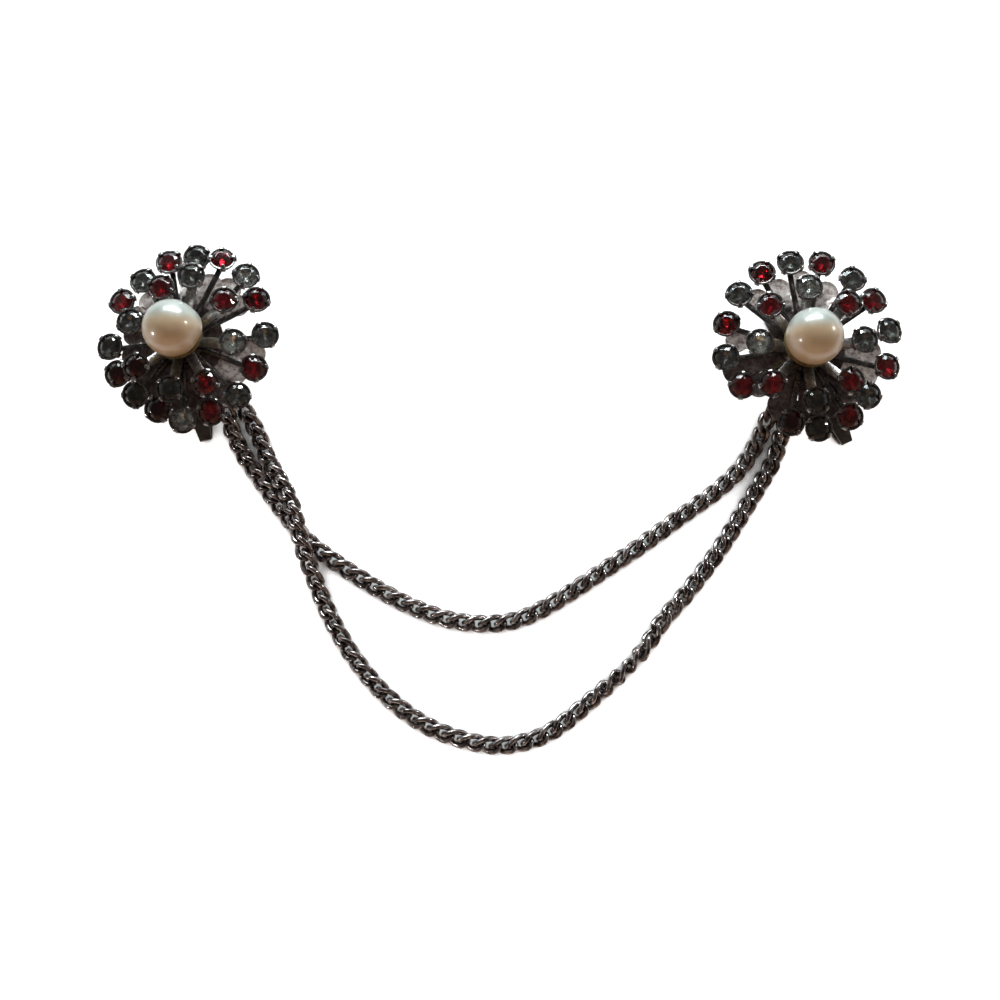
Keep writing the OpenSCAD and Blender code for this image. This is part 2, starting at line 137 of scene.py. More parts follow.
def worn_plating_and_shade_group():
    """Old plating: bright where rubbed, dark where tarnished; the hollows darkened, partly tarnish,
    partly painted shade.
    """
    group = bpy.data.node_groups.new("worn plating and hollow shade", "ShaderNodeTree")
    put = group.interface.new_socket
    for name, kind, value in (
        ("Bright", "NodeSocketColor", (0.5, 0.48, 0.46, 1)),
        ("Dark", "NodeSocketColor", (0.1, 0.09, 0.09, 1)),
        ("Hollow shade and tarnish", "NodeSocketColor", (0.05, 0.03, 0.02, 1)),
        ("Patch size", "NodeSocketFloat", 1.0),
        ("Rubbed", "NodeSocketFloat", 0.5),
        ("Rough least", "NodeSocketFloat", 0.2),
        ("Rough most", "NodeSocketFloat", 0.5),
    ):
        put(name, in_out="INPUT", socket_type=kind).default_value = value
    put("Color", in_out="OUTPUT", socket_type="NodeSocketColor")
    put("Roughness", in_out="OUTPUT", socket_type="NodeSocketFloat")
    put("Height", in_out="OUTPUT", socket_type="NodeSocketFloat")
    nodes, link = group.nodes, group.links.new
    given, out = nodes.new("NodeGroupInput"), nodes.new("NodeGroupOutput")
    coords = nodes.new("ShaderNodeTexCoord")
    size = nodes.new("ShaderNodeMath")
    size.operation = "DIVIDE"
    size.inputs[0].default_value = 1 / mm
    link(given.outputs["Patch size"], size.inputs[1])
    patches = nodes.new("ShaderNodeTexNoise")
    patches.inputs["Detail"].default_value = 5
    patches.inputs["Roughness"].default_value = 0.65
    link(coords.outputs["Object"], patches.inputs["Vector"])
    link(size.outputs[0], patches.inputs["Scale"])
    grain = nodes.new("ShaderNodeTexNoise")
    grain.inputs["Scale"].default_value = 4.5 / mm
    grain.inputs["Detail"].default_value = 3
    link(coords.outputs["Object"], grain.inputs["Vector"])
    # Patches clear to bright above a level that Rubbed lowers
    level = nodes.new("ShaderNodeMath")
    level.operation = "SUBTRACT"
    level.inputs[0].default_value = 1.0
    link(given.outputs["Rubbed"], level.inputs[1])
    bright = nodes.new("ShaderNodeMapRange")
    link(patches.outputs["Fac"], bright.inputs["Value"])
    low = nodes.new("ShaderNodeMath")
    low.operation = "MULTIPLY"
    low.inputs[1].default_value = 0.8
    link(level.outputs[0], low.inputs[0])
    link(low.outputs[0], bright.inputs["From Min"])
    high = nodes.new("ShaderNodeMath")
    high.inputs[1].default_value = 0.32
    link(low.outputs[0], high.inputs[0])
    link(high.outputs[0], bright.inputs["From Max"])
    plating = nodes.new("ShaderNodeMix")
    plating.data_type = "RGBA"
    link(bright.outputs[0], plating.inputs["Factor"])
    link(given.outputs["Dark"], plating.inputs["A"])
    link(given.outputs["Bright"], plating.inputs["B"])
    # Ambient occlusion darkens the hollows: partly tarnish, partly painted shade
    hollow_tarnish_and_shade = nodes.new("ShaderNodeAmbientOcclusion")
    hollow_tarnish_and_shade.samples = 6
    hollow_tarnish_and_shade.inputs["Distance"].default_value = 1.2 * mm
    hollow_shade_mask = nodes.new("ShaderNodeMapRange")
    hollow_shade_mask.inputs["From Min"].default_value = 0.15
    hollow_shade_mask.inputs["From Max"].default_value = 0.6
    hollow_shade_mask.inputs["To Min"].default_value = 1.0
    hollow_shade_mask.inputs["To Max"].default_value = 0.0
    link(hollow_tarnish_and_shade.outputs["AO"], hollow_shade_mask.inputs["Value"])
    colour = nodes.new("ShaderNodeMix")
    colour.data_type = "RGBA"
    link(hollow_shade_mask.outputs[0], colour.inputs["Factor"])
    link(plating.outputs["Result"], colour.inputs["A"])
    link(given.outputs["Hollow shade and tarnish"], colour.inputs["B"])
    rough = nodes.new("ShaderNodeMapRange")
    link(patches.outputs["Fac"], rough.inputs["Value"])
    rough.inputs["From Min"].default_value = 0.3
    rough.inputs["From Max"].default_value = 0.7
    link(given.outputs["Rough most"], rough.inputs["To Min"])
    link(given.outputs["Rough least"], rough.inputs["To Max"])
    height = nodes.new("ShaderNodeMath")
    link(patches.outputs["Fac"], height.inputs[0])
    link(grain.outputs["Fac"], height.inputs[1])
    link(colour.outputs["Result"], out.inputs["Color"])
    link(rough.outputs[0], out.inputs["Roughness"])
    link(height.outputs[0], out.inputs["Height"])
    return group


WORN_PLATING_AND_SHADE = worn_plating_and_shade_group()


def plated_metal(name, bright, dark, hollow_tarnish_and_shade, patch, rubbed, rough, metallic=0.9, bump=0.04):
    """A metal whose colour, roughness and relief come from the worn plating."""
    material = bpy.data.materials.new(name)
    material.use_nodes = True
    nodes, link = material.node_tree.nodes, material.node_tree.links.new
    surface = nodes["Principled BSDF"]
    surface.inputs["Metallic"].default_value = metallic
    wear = nodes.new("ShaderNodeGroup")
    wear.node_tree = WORN_PLATING_AND_SHADE
    wear.inputs["Bright"].default_value = (*bright, 1)
    wear.inputs["Dark"].default_value = (*dark, 1)
    wear.inputs["Hollow shade and tarnish"].default_value = (*hollow_tarnish_and_shade, 1)
    wear.inputs["Patch size"].default_value = patch
    wear.inputs["Rubbed"].default_value = rubbed
    wear.inputs["Rough least"].default_value = rough[0]
    wear.inputs["Rough most"].default_value = rough[1]
    relief = nodes.new("ShaderNodeBump")
    relief.inputs["Strength"].default_value = 0.5
    relief.inputs["Distance"].default_value = bump * mm
    link(wear.outputs["Color"], surface.inputs["Base Color"])
    link(wear.outputs["Roughness"], surface.inputs["Roughness"])
    link(wear.outputs["Height"], relief.inputs["Height"])
    link(relief.outputs["Normal"], surface.inputs["Normal"])
    return material


def paint(piece, *materials):
    """Gives a piece its materials, in place of those that it had."""
    piece.data.materials.clear()
    for material in materials:
        piece.data.materials.append(material)


SAME_CORNER = 0.001  # corners nearer than this are one


def rounded_cad(node, name, bevel):
    """A CAD node's own shape with its flat faces made whole and its edges rounded."""
    piece = copy_of(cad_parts[node])
    for key in list(piece.keys()):
        del piece[key]
    piece.parent = None
    bpy.ops.object.select_all(action="DESELECT")
    piece.select_set(True)
    bpy.context.view_layer.objects.active = piece
    bpy.ops.object.mode_set(mode="EDIT")
    bpy.ops.mesh.select_all(action="SELECT")
    bpy.ops.mesh.remove_doubles(threshold=SAME_CORNER * mm)
    bpy.ops.mesh.dissolve_limited(angle_limit=math.radians(1))
    close(piece, bevel=bevel)
    piece.name = piece.data.name = name
    return piece


clip_steel = plated_metal(
    "clip steel", bright=(0.2, 0.18, 0.165), dark=(0.07, 0.06, 0.055), hollow_tarnish_and_shade=(0.03, 0.02, 0.018),
    patch=2.5, rubbed=0.5, rough=(0.28, 0.5))
for side in SIDES:
    clip = rounded_cad(f"{side}_clip", f"{side}_spring_clip", bevel=0.12)
    paint(clip, clip_steel)
    dress(clip, "clip_metal", f"{side}_clip")


# Back plates: rosettes of petals stamped from silvered brass sheet, each petal dished inside a
# raised rim. Two wire rings are soldered on edge under one side of each plate, and the chains hang
# from them. The silver has worn to pinkish brown in blotches. The petals on the lower side, the
# disc and the rings are painted in a darker brown copy of it, as painted shade.

HUB = {side: sum(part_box(f"{side}_pearl"), Vector()) / 2 / mm for side in SIDES}
PLATE_TOP = 4.1
PLATE_DISC_R = 7.4
PLATE_T = 0.5
PETAL_T = 0.35
PETAL_NECK_R = 3.6
NECK_FROM = -0.8  # the part of a petal's disc that is drawn in to the neck begins here, in radii
PETAL_STEPS = ((0.09, 0.07), (0.16, -0.12), (0.3, -0.14), (0.4, -0.08))  # inset and rise: rim, dish
PETALS = {  # angle, reach, radius of the round end, droop in degrees
    "left": (
        (110, 12.6, 1.9, 6), (88, 15.6, 2.3, 6), (68, 14.0, 2.5, 6), (52, 15.0, 2.4, 5),
        (36, 14.0, 2.1, 5), (-10, 15.2, 2.6, 4), (-31, 13.4, 2.4, 3), (-50, 15.2, 2.6, 0),
        (-75, 13.4, 2.4, 0), (-97, 12.6, 2.3, 2), (-119, 11.6, 2.2, 3), (-141, 11.6, 2.2, 4),
        (-164, 11.4, 2.2, 5), (172, 11.0, 1.9, 5), (150, 11.8, 2.1, 6), (130, 12.0, 2.1, 6)),
    "right": (
        (130, 14.6, 2.3, 5), (109, 14.4, 2.3, 6), (89, 15.4, 2.3, 6), (67, 14.2, 2.3, 6),
        (47, 13.0, 2.1, 6), (-1, 14.2, 2.4, 5), (-22, 14.2, 2.5, 4), (-44, 13.4, 2.3, 4),
        (-66, 13.6, 2.3, 2), (-89, 14.0, 2.6, 0), (-112, 14.0, 2.8, 0), (-142, 12.8, 2.3, 3),
        (-163, 15.3, 2.8, 3), (171, 14.2, 2.2, 5)),
}
EYES = {  # x, y and heading of the strand
    "left": ((-47.4, 17.4, -50), (-49.7, 17.7, -76)),
    "right": ((51.4, 14.6, -103), (48.3, 15.1, -108)),
}
EYE_Z, EYE_R, EYE_WIRE, EYE_LEAN = 2.05, 1.4, 0.7, 20
SHADED_PETAL_ARC = {"left": (160, 320), "right": (195, 320)}  # the arc of the lower side in which the petals are painted darker brown, as painted shade

plate_silver = plated_metal(
    "worn plate silver", bright=(0.95, 0.87, 0.83), dark=(0.24, 0.17, 0.155),
    hollow_tarnish_and_shade=(0.05, 0.028, 0.026), patch=0.85, rubbed=0.54, rough=(0.2, 0.5), metallic=0.3, bump=0.08)
# A darker brown copy of the plate silver: painted shade on the lower petals, the disc and the rings
shaded_plate_brown = plated_metal(
    "plate silver with painted shade", bright=(0.24, 0.19, 0.18), dark=(0.075, 0.05, 0.046),
    hollow_tarnish_and_shade=(0.02, 0.011, 0.01), patch=1.1, rubbed=0.5, rough=(0.24, 0.5), metallic=0.75, bump=0.07)


def petal(reach, radius, droop):
    """One petal along +X from the plate's middle: a disc drawn out to a neck, rimmed and dished."""
    centre = (reach - radius, 0, PLATE_TOP)
    piece = start("circle", vertices=28, radius=radius * mm, fill_type="NGON",
                  location=[c * mm for c in centre])
    choose(piece, lambda p, n: p.x < NECK_FROM * radius, "VERT")
    bpy.ops.transform.translate(value=((PETAL_NECK_R - reach + 2 * radius) * mm, 0, 0))
    bpy.ops.mesh.select_mode(type="FACE")
    bpy.ops.mesh.select_all(action="SELECT")
    for inset, rise in PETAL_STEPS:
        bpy.ops.mesh.inset(thickness=inset * mm, depth=0)
        bpy.ops.transform.translate(value=(0, 0, rise * mm))
    bpy.ops.mesh.poke()
    close(piece, wall=PETAL_T, bevel=0.05, segments=1, angle=50)
    hinge = Matrix.Translation((PETAL_NECK_R * mm, 0, PLATE_TOP * mm))
    piece.data.transform(hinge @ Matrix.Rotation(math.radians(droop), 4, "Y") @ hinge.inverted())
    return piece


for side in SIDES:
    turn_in = Matrix.Translation((HUB[side].x * mm, HUB[side].y * mm, 0))
    disc = start("cylinder", vertices=64, radius=PLATE_DISC_R * mm, depth=PLATE_T * mm,
                 location=(0, 0, (PLATE_TOP - PLATE_T / 2) * mm))
    close(disc, bevel=0.08)
    disc.data.transform(turn_in)
    # The disc takes the darker copy, as painted shade
    paint(disc, shaded_plate_brown)
    stamped = [disc]
    for angle, reach, radius, droop in PETALS[side]:
        leaf = petal(reach, radius, droop)
        leaf.data.transform(turn_in @ Matrix.Rotation(math.radians(angle), 4, "Z"))
        # Petals in the lower arc take the darker copy: painted shade
        first, last = SHADED_PETAL_ARC[side]
        paint(leaf, shaded_plate_brown if first < angle % 360 < last else plate_silver)
        stamped.append(leaf)
    for x, y, heading in EYES[side]:
        ring = start("torus", major_segments=40, minor_segments=12, major_radius=EYE_R * mm,
                     minor_radius=EYE_WIRE / 2 * mm, location=(x * mm, y * mm, EYE_Z * mm),
                     rotation=(math.radians(90 + EYE_LEAN), 0, math.radians(heading)))
        close(ring)
        # The rings take the darker copy too, as painted shade
        paint(ring, shaded_plate_brown)
        stamped.append(ring)
    plate = join(stamped, f"{side}_petal_plate")
    dress(plate, "plate_metal", f"{side}_back_plate")


# Bursts: two stamped stars for each ornament, the outer one with narrow stems and the inner one
# with broad ones. A turned-up cup with four prongs is soldered on the end of every stem. The silver
# plating has gone to gunmetal, bright only on the prongs.

def solids_of(node):
    """The separate solids of a CAD node, each as an array of its corners in millimetres."""
    copy = copy_of(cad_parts[node])
    bpy.ops.object.select_all(action="DESELECT")
    copy.select_set(True)
    bpy.context.view_layer.objects.active = copy
    bpy.ops.object.mode_set(mode="EDIT")
    bpy.ops.mesh.select_all(action="SELECT")
    bpy.ops.mesh.remove_doubles(threshold=SAME_CORNER * mm)
    bpy.ops.mesh.separate(type="LOOSE")
    bpy.ops.object.mode_set(mode="OBJECT")
    parts = list(bpy.context.selected_objects)
    corners = [np.array([v.co for v in part.data.vertices], float) / mm for part in parts]
    for part in parts:
        discard(part)
    return corners


CENTROID_BELOW_GIRDLE = 0.125  # of a CAD stone's corners


def seat_of(corners, hub):
    """Where a stone sits, as one matrix: its girdle's middle, its axis, its way from the pearl."""
    middle = corners.mean(0)
    _, axes = np.linalg.eigh(np.cov(corners.T))
    up = Vector(axes[:, 0])
    if up.z < 0:
        up.negate()
    girdle = Vector(middle) + CENTROID_BELOW_GIRDLE * up
    out = girdle - hub
    out = (out - out.dot(up) * up).normalized()
    seat = Matrix((out, up.cross(out), up)).transposed().to_4x4()
    seat.translation = girdle * mm
    return seat


SEATS = {
    (side, colour): [
        seat_of(corners, HUB[side]) for corners in solids_of(f"{side}_{colour}_stones")]
    for side in SIDES for colour in ("red", "clear")
}
INNER_FROM_Z = 8.5  # stones above this height are the inner star's
HUBS = {"outer": (4.2, 4.3, 1.0), "inner": (3.2, 5.0, 1.8)}  # radius, underside, width of the stems
HUB_T = 0.6
STEM_T = 0.45
STEM_ROOT, STEM_PAST = 0.5, 0.3  # how far a stem starts inside its hub and runs on under its cup
CUP_SEAT = 1.75
CUP_SKEW = 14  # the most that a cup is soldered on turned, in degrees
LEVEL = 0.9  # the least upward or downward part of a level face's normal

gunmetal = plated_metal(
    "gunmetal plating", bright=(0.3, 0.28, 0.275), dark=(0.07, 0.06, 0.057),
    hollow_tarnish_and_shade=(0.018, 0.011, 0.01), patch=0.9, rubbed=0.5, rough=(0.14, 0.34))
stem_silver = plated_metal(
    "worn stem silver", bright=(0.44, 0.405, 0.4), dark=(0.16, 0.135, 0.13),
    hollow_tarnish_and_shade=(0.03, 0.02, 0.018), patch=1.2, rubbed=0.55, rough=(0.2, 0.4))
rubbed_silver = plated_metal(
    "rubbed silver", bright=(0.6, 0.58, 0.57), dark=(0.1, 0.088, 0.084),
    hollow_tarnish_and_shade=(0.025, 0.017, 0.015), patch=0.9, rubbed=0.5, rough=(0.08, 0.2), bump=0.015)

# The cup: a small disc grown upwards into a tulip, folded in at the rim and hollowed
CUP_FOOT_R, CUP_FOOT_T, CUP_FOOT_Z = 0.9, 0.2, -1.9
CUP_WALL = ((1.45, 0.45), (1.98, 0.55), (2.38, 0.7), (2.48, 0.35))  # radius and rise of each step
CUP_HOLLOW = ((2.05, 0.0), (2.18, -0.35), (0.6, -1.25))
cup = start("cylinder", vertices=24, radius=CUP_FOOT_R * mm, depth=CUP_FOOT_T * mm,
            location=(0, 0, CUP_FOOT_Z * mm))
choose(cup, lambda p, n: n.z > LEVEL)
wide = CUP_FOOT_R
for radius, rise in CUP_WALL + CUP_HOLLOW:
    grow((0, 0, 0), radius / wide, (0, 0, rise))
    wide = radius
close(cup, bevel=0.05, segments=2, angle=50)

# One prong: a broad claw that stands up past the rim and curls in over the stone's edge
PRONG_R, PRONG_Z, PRONG_SIZE = 2.44, -0.05, (0.28, 0.95, 0.6)
PRONG_CURL = (  # inwards, rise, thinner, narrower
    (0.0, 0.2, 0.95, 0.92), (0.12, 0.2, 0.9, 0.86), (0.26, 0.14, 0.85, 0.8), (0.3, 0.02, 0.7, 0.7))
prong = start("cube", size=1, location=(PRONG_R * mm, 0, PRONG_Z * mm),
              scale=[size * mm for size in PRONG_SIZE])
choose(prong, lambda p, n: n.z > LEVEL)
for inwards, rise, thinner, narrower in PRONG_CURL:
    bpy.ops.mesh.extrude_region_move(
        TRANSFORM_OT_translate={"value": (-inwards * mm, 0, rise * mm)})
    bpy.ops.transform.resize(value=(thinner, narrower, 1))
close(prong, bevel=0.08, segments=2)

# One stem, one metre long until it is placed: a straight strip whose outer end lifts into the cup's
# foot. It is cut across first, so that only the end lifts.
STEM_CUTS = (0.35, 0.7)
STEM_END = 0.3  # past this, measured from the strip's middle
STEM_LIFT = 0.35  # in thicknesses
stem = start("cube", size=1, location=(0.5, 0, 0), scale=(1, 1, 1))
for cut in STEM_CUTS:
    bpy.ops.mesh.select_all(action="SELECT")
    bpy.ops.mesh.bisect(plane_co=(cut, 0, 0), plane_no=(1, 0, 0))
choose(stem, lambda p, n: p.x * mm > STEM_END, "VERT")
bpy.ops.transform.translate(value=(0, 0, STEM_LIFT))
bpy.ops.object.mode_set(mode="OBJECT")
bpy.ops.object.transform_apply(location=True, rotation=True, scale=True)


def stem_to(seat, hub, layer):
    """A stem from its star's hub to the foot of the cup on that seat."""
    hub_r, hub_z, width = HUBS[layer]
    foot = seat.translation / mm - CUP_SEAT * seat.col[2].to_3d()
    out = Vector((foot.x - hub.x, foot.y - hub.y, 0)).normalized()
    root = Vector((hub.x, hub.y, hub_z + HUB_T / 2)) + (hub_r - STEM_ROOT) * out
    run = foot - root
    ahead = run.normalized()
    across = Vector((0, 0, 1)).cross(ahead).normalized()
    length = run.length + STEM_PAST
    strip_axes = Matrix((ahead * length, across * width, ahead.cross(across) * STEM_T))
    place = Matrix.Diagonal((mm, mm, mm, 1)) @ strip_axes.transposed().to_4x4()
    place.translation = root * mm
    strip = copy_of(stem, place)
    bpy.ops.object.select_all(action="DESELECT")
    strip.select_set(True)
    bpy.context.view_layer.objects.active = strip
    bpy.ops.object.mode_set(mode="EDIT")
    return close(strip, bevel=0.1, segments=2)


random.seed(7)
for side in SIDES:
    seats = SEATS[side, "red"] + SEATS[side, "clear"]
    for layer, (hub_r, hub_z, _) in HUBS.items():
        mine = [s for s in seats if (s.translation.z / mm > INNER_FROM_Z) == (layer == "inner")]
        disc = start("cylinder", vertices=48, radius=hub_r * mm, depth=HUB_T * mm,
                     location=(HUB[side].x * mm, HUB[side].y * mm, (hub_z + HUB_T / 2) * mm))
        close(disc, bevel=0.12)
        dark, bright, broad = [disc], [], []
        for seat in mine:
            spun = seat @ Matrix.Rotation(math.radians(random.uniform(-CUP_SKEW, CUP_SKEW)), 4, "Z")
            (broad if layer == "inner" else dark).append(stem_to(seat, HUB[side], layer))
            dark.append(copy_of(cup, spun))
            for quarter in range(4):
                corner = Matrix.Rotation(math.radians(45 + 90 * quarter), 4, "Z")
                bright.append(copy_of(prong, spun @ corner))
        for parts, metal in ((dark, gunmetal), (bright, rubbed_silver), (broad, stem_silver)):
            for part in parts:
                paint(part, metal)
        burst = join(dark + bright + broad, f"{side}_{layer}_star")
        dress(burst, "setting_metal", f"{side}_{layer}_burst")
for pattern in (cup, prong, stem):
    discard(pattern)


# Posts: a brass rivet through all the layers, with a dished brass seat that the pearl stands in.
# The yellow edge of the seat shows beside the pearl.

brass = plated_metal(
    "dull brass", bright=(0.42, 0.33, 0.16), dark=(0.2, 0.14, 0.07), hollow_tarnish_and_shade=(0.07, 0.045, 0.022),
    patch=1.2, rubbed=0.6, rough=(0.22, 0.42))
for side in SIDES:
    post = rounded_cad(f"{side}_pearl_post", f"{side}_rivet_post", bevel=0.06)
    paint(post, brass)
    dress(post, "post_metal", f"{side}_pearl_post")


# Pearls: glass beads dipped in pearl essence, each fixed on its post's peg. The coat is tan with a
# soft gloss, painted cooler and greyer on the side towards the window as a painted reflection of
# the window. The left one is not quite round.

PEARL_R = 5.0
PAINTED_WINDOW_FROM = (-0.4, 2.3)  # where the painted reflection of the window begins and is full, ahead of the pearl's middle
BULGE_AT, BULGE_R = Vector((4.9, 0.7, 0)), 0.6  # the spot that stands out of the left pearl
BULGE_OUT, BULGE_REACH = (0.35, 0.05, 0), 3.2


def pearl_coat(name, middle_y):
    """The coat of the pearl whose middle is at that y, with a painted reflection of the window."""
    material = bpy.data.materials.new(name)
    material.use_nodes = True
    nodes, link = material.node_tree.nodes, material.node_tree.links.new
    surface = nodes["Principled BSDF"]
    surface.inputs["Roughness"].default_value = 0.4
    surface.inputs["Coat Weight"].default_value = 1.0
    surface.inputs["Coat Roughness"].default_value = 0.15
    surface.inputs["IOR"].default_value = 1.75
    coords = nodes.new("ShaderNodeTexCoord")
    cloud = nodes.new("ShaderNodeTexNoise")
    cloud.inputs["Scale"].default_value = 0.25 / mm
    cloud.inputs["Detail"].default_value = 3
    tone = nodes.new("ShaderNodeValToRGB")
    tone.color_ramp.elements[0].color = (0.37, 0.25, 0.145, 1)
    tone.color_ramp.elements[1].color = (0.41, 0.3, 0.185, 1)
    tone.color_ramp.elements[0].position = 0.35
    tone.color_ramp.elements[1].position = 0.65
    link(coords.outputs["Object"], cloud.inputs["Vector"])
    link(cloud.outputs["Fac"], tone.inputs["Fac"])
    # The coat is painted cooler and greyer on the side towards the window: a painted reflection of it
    parts = nodes.new("ShaderNodeSeparateXYZ")
    link(coords.outputs["Object"], parts.inputs[0])
    away = nodes.new("ShaderNodeMapRange")
    away.interpolation_type = "SMOOTHSTEP"
    away.inputs["From Min"].default_value = (middle_y + PAINTED_WINDOW_FROM[0]) * mm
    away.inputs["From Max"].default_value = (middle_y + PAINTED_WINDOW_FROM[1]) * mm
    link(parts.outputs["Y"], away.inputs["Value"])
    coat_and_painted_window = nodes.new("ShaderNodeMix")
    coat_and_painted_window.data_type = "RGBA"
    coat_and_painted_window.inputs["B"].default_value = (0.25, 0.268, 0.242, 1)
    link(away.outputs[0], coat_and_painted_window.inputs["Factor"])
    link(tone.outputs["Color"], coat_and_painted_window.inputs["A"])
    link(coat_and_painted_window.outputs["Result"], surface.inputs["Base Color"])
    return material


for side in SIDES:
    bead = start("uv_sphere", segments=96, ring_count=48, radius=PEARL_R * mm,
                 location=[c * mm for c in HUB[side]])
    if side == "left":
        choose(bead, lambda p, n: (p - BULGE_AT).length < BULGE_R, "VERT")
        bpy.ops.transform.translate(value=[c * mm for c in BULGE_OUT], use_proportional_edit=True,
                                    proportional_edit_falloff="SMOOTH",
                                    proportional_size=BULGE_REACH * mm)
    close(bead)
    bead.name = bead.data.name = f"{side}_pearl_bead"
    paint(bead, pearl_coat(f"{side} pearl coat", HUB[side].y))
    dress(bead, "pearl_coat", f"{side}_pearl")


# Stones: round glass chatons, a table and a faceted crown over a cone that is foiled at the back.
# 24 are garnet red and 23 clear, and the clear ones have greyed where the foil has gone. Stones on
# the lower side get a nearly black foil, as painted shade.

def cut_glass(name, glass, foils):
    """The glass of one colour of stones, and its foil in each state."""
    clear = bpy.data.materials.new(f"{name} glass")
    clear.use_nodes = True
    surface = clear.node_tree.nodes["Principled BSDF"]
    surface.inputs["Base Color"].default_value = (*glass, 1)
    surface.inputs["Roughness"].default_value = 0.02
    surface.inputs["IOR"].default_value = 1.66
    surface.inputs["Transmission Weight"].default_value = 1.0
    return clear, *(
        plated_metal(f"{name} {state} foil", bright=(bright,) * 3, dark=(dark,) * 3,
                     hollow_tarnish_and_shade=(dark,) * 3, patch=0.8, rubbed=0.5, rough=rough, metallic=metallic,
                     bump=0.01)
        for state, bright, dark, rough, metallic in foils)


GIRDLE_R, GIRDLE_T = 2.1, 0.2
CROWN = ((1.75, 0.34), (1.2, 0.3))  # radius and rise of each step
FACET_TURN = 22.5  # each ring of facets is turned by half a facet
CONE_DEPTH, CULET = 1.1, 0.18  # the culet as a share of the girdle
stone = start("cylinder", vertices=8, radius=GIRDLE_R * mm, depth=GIRDLE_T * mm)
choose(stone, lambda p, n: n.z > LEVEL)
wide = GIRDLE_R
for radius, rise in CROWN:
    bpy.ops.mesh.extrude_region_move(TRANSFORM_OT_translate={"value": (0, 0, rise * mm)})
    shrink, wide = radius / wide, radius
    bpy.ops.transform.resize(value=(shrink, shrink, 1), center_override=(0, 0, 0))
    bpy.ops.transform.rotate(value=math.radians(FACET_TURN), orient_axis="Z",
                             center_override=(0, 0, 0))
choose(stone, lambda p, n: n.z < -LEVEL)
bpy.ops.mesh.extrude_region_move(TRANSFORM_OT_translate={"value": (0, 0, -CONE_DEPTH * mm)})
bpy.ops.transform.resize(value=(CULET, CULET, 1), center_override=(0, 0, 0))
bpy.ops.mesh.select_all(action="SELECT")
bpy.ops.mesh.quads_convert_to_tris(quad_method="SHORTEST_DIAGONAL")
bpy.ops.object.mode_set(mode="OBJECT")
facets = stone.modifiers.new("facets", "BEVEL")
facets.width = 0.05 * mm
facets.segments = 1
facets.angle_limit = math.radians(12)
bpy.ops.object.modifier_apply(modifier="facets")
bpy.ops.object.mode_set(mode="EDIT")
choose(stone, lambda p, n: n.z < -0.3)
for _ in range(4):  # the glass, then the worn and sound foil, and the nearly black foil of painted shade
    stone.data.materials.append(None)
bpy.context.object.active_material_index = 1
bpy.ops.object.material_slot_assign()
bpy.ops.object.mode_set(mode="OBJECT")
bpy.ops.object.transform_apply(location=True, rotation=True, scale=True)

CUTS = {  # the glass's colour; then each foil's bright and dark tone, roughness and metal
    "red": cut_glass("garnet", (0.42, 0.01, 0.018), (
        ("worn", 0.6, 0.24, (0.2, 0.4), 0.65), ("sound", 0.75, 0.26, (0.08, 0.22), 0.95),
        ("shade_black", 0.05, 0.02, (0.4, 0.6), 0.0))),
    "clear": cut_glass("clear", (0.76, 0.77, 0.72), (
        ("worn", 0.2, 0.07, (0.2, 0.4), 0.65), ("sound", 0.9, 0.2, (0.12, 0.3), 0.75),
        ("shade_black", 0.025, 0.01, (0.4, 0.6), 0.0))),
}
# The nearly black foil, on stones of the lower side, is painted shade
WORN, SOUND, SHADE_BLACK = 1, 2, 3
SAME_STONE = 5  # degrees
FOILS = {  # angle, layer and state of the stones whose foil is not just worn
    "left": (
        (62.5, "outer", SOUND), (-58, "inner", SOUND), (26, "outer", SOUND), (44, "outer", SOUND),
        (-10, "inner", SOUND), (-84, "outer", SOUND), (-93, "inner", SHADE_BLACK), (-103, "outer", SHADE_BLACK),
        (-124, "outer", SHADE_BLACK), (-137, "inner", SHADE_BLACK), (-147, "outer", SHADE_BLACK), (-171, "outer", SHADE_BLACK)),
    "right": (
        (120, "outer", SOUND), (165, "outer", SOUND), (90, "inner", SOUND), (-178, "inner", SOUND),
        (-87, "inner", SHADE_BLACK), (-85, "outer", SHADE_BLACK), (-104, "outer", SHADE_BLACK)),
}


def foil_of(side, seat):
    """The state of the foil behind the stone on that seat."""
    at = seat.translation / mm - HUB[side]
    angle = math.degrees(math.atan2(at.y, at.x))
    layer = "inner" if seat.translation.z / mm > INNER_FROM_Z else "outer"
    for known, where, state in FOILS[side]:
        if layer == where and abs((angle - known + 180) % 360 - 180) < SAME_STONE:
            return state
    return WORN


for (side, colour), seats in SEATS.items():
    set_stones = []
    for seat in seats:
        turn = Matrix.Rotation(math.radians(random.uniform(0, 2 * FACET_TURN)), 4, "Z")
        spun = copy_of(stone, seat @ turn)
        for number, material in enumerate(CUTS[colour]):
            spun.data.materials[number] = material
        for face in spun.data.polygons:
            face.material_index *= foil_of(side, seat)
        set_stones.append(spun)
    stones = join(set_stones, f"{side}_{colour}_chatons")
    dress(stones, f"{colour}_glass", f"{side}_{colour}_stones")
discard(stone)


# Chains: two strands of curb links, round wire bent to an oval and twisted so that it lies flat,
# each link hooked through the next. The silver plating has darkened and is bright where the links
# rub; the near-black brown between the links is partly tarnish and partly painted shade.

LINK_END_R = 1.14
LINK_STRETCH = 1.01  # what each half is drawn out by
LINK_CUTS = (-0.8, -0.4, 0, 0.4, 0.8)  # across its straight sides, for the twist
LINK_WIRE = 1.04
LINK_TWIST = -65  # of each end against the middle
LINK_LIFT = 0.07
LINK_ROLL = 28
CROSSING = Vector((-37.4, -1.6, 0))  # the lower strand climbs over the upper one about here
CLIMB, CLIMB_REACH = 0.95, 10  # how much higher it goes than in the CAD, and how far off that fades

